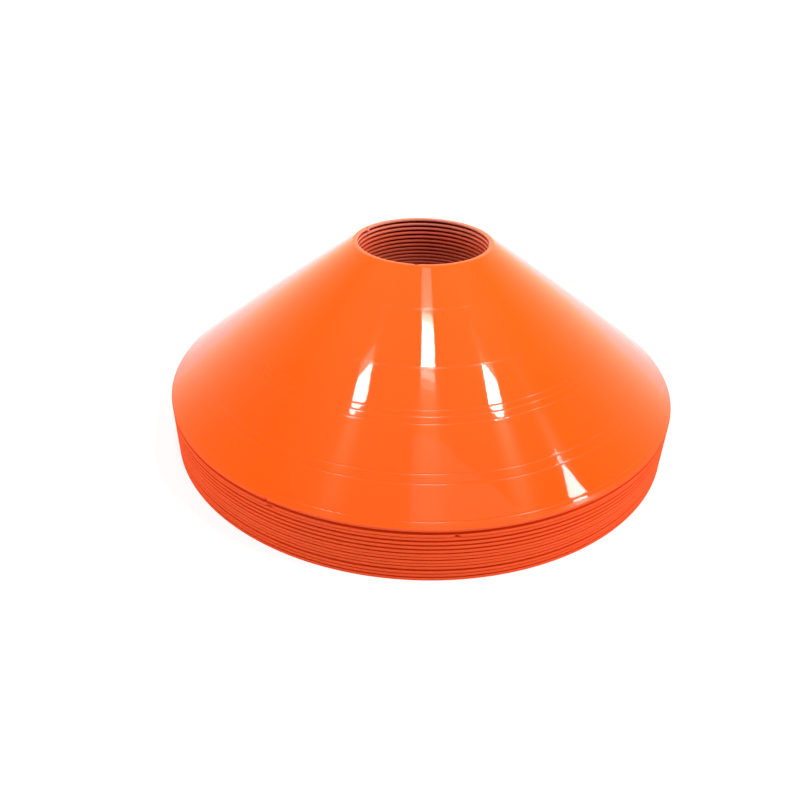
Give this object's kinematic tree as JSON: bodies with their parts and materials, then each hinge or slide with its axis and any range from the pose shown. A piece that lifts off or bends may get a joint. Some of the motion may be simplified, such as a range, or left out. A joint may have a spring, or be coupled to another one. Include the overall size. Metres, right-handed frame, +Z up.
{
  "type": "stack of disc marker cones",
  "caption": "Nested stack of open-topped orange disc cones for marking out a sports pitch; each cone lifts off the one below.",
  "frame": {"origin": "on the floor, at the middle of the lowest cone's rim", "axes": "+Z up along the stack's axis, the way the cones lift off; X and Y are alike, as each cone is round"},
  "size_m": [0.19, 0.19, 0.0724],
  "materials": {
    "orange_plastic": "smooth glossy moulded polyethylene, with faint turned rings from the mould"
  },
  "bodies": {
    "cone_01": {"cone_01": "orange_plastic"},
    "cone_02": {"cone_02": "orange_plastic"},
    "cone_03": {"cone_03": "orange_plastic"},
    "cone_04": {"cone_04": "orange_plastic"},
    "cone_05": {"cone_05": "orange_plastic"},
    "cone_06": {"cone_06": "orange_plastic"},
    "cone_07": {"cone_07": "orange_plastic"},
    "cone_08": {"cone_08": "orange_plastic"},
    "cone_09": {"cone_09": "orange_plastic"},
    "cone_10": {"cone_10": "orange_plastic"},
    "cone_11": {"cone_11": "orange_plastic"},
    "cone_12": {"cone_12": "orange_plastic"},
    "cone_13": {"cone_13": "orange_plastic"},
    "cone_14": {"cone_14": "orange_plastic"}
  },
  "joints": [
    {"name": "lift_cone_02", "type": "slide", "parent": "cone_01", "child": "cone_02", "axis": [0, 0, 1], "range_m": [0, 0.055]},
    {"name": "lift_cone_03", "type": "slide", "parent": "cone_02", "child": "cone_03", "axis": [0, 0, 1], "range_m": [0, 0.055]},
    {"name": "lift_cone_04", "type": "slide", "parent": "cone_03", "child": "cone_04", "axis": [0, 0, 1], "range_m": [0, 0.055]},
    {"name": "lift_cone_05", "type": "slide", "parent": "cone_04", "child": "cone_05", "axis": [0, 0, 1], "range_m": [0, 0.055]},
    {"name": "lift_cone_06", "type": "slide", "parent": "cone_05", "child": "cone_06", "axis": [0, 0, 1], "range_m": [0, 0.055]},
    {"name": "lift_cone_07", "type": "slide", "parent": "cone_06", "child": "cone_07", "axis": [0, 0, 1], "range_m": [0, 0.055]},
    {"name": "lift_cone_08", "type": "slide", "parent": "cone_07", "child": "cone_08", "axis": [0, 0, 1], "range_m": [0, 0.055]},
    {"name": "lift_cone_09", "type": "slide", "parent": "cone_08", "child": "cone_09", "axis": [0, 0, 1], "range_m": [0, 0.055]},
    {"name": "lift_cone_10", "type": "slide", "parent": "cone_09", "child": "cone_10", "axis": [0, 0, 1], "range_m": [0, 0.055]},
    {"name": "lift_cone_11", "type": "slide", "parent": "cone_10", "child": "cone_11", "axis": [0, 0, 1], "range_m": [0, 0.055]},
    {"name": "lift_cone_12", "type": "slide", "parent": "cone_11", "child": "cone_12", "axis": [0, 0, 1], "range_m": [0, 0.055]},
    {"name": "lift_cone_13", "type": "slide", "parent": "cone_12", "child": "cone_13", "axis": [0, 0, 1], "range_m": [0, 0.055]},
    {"name": "lift_cone_14", "type": "slide", "parent": "cone_13", "child": "cone_14", "axis": [0, 0, 1], "range_m": [0, 0.055]}
  ]
}
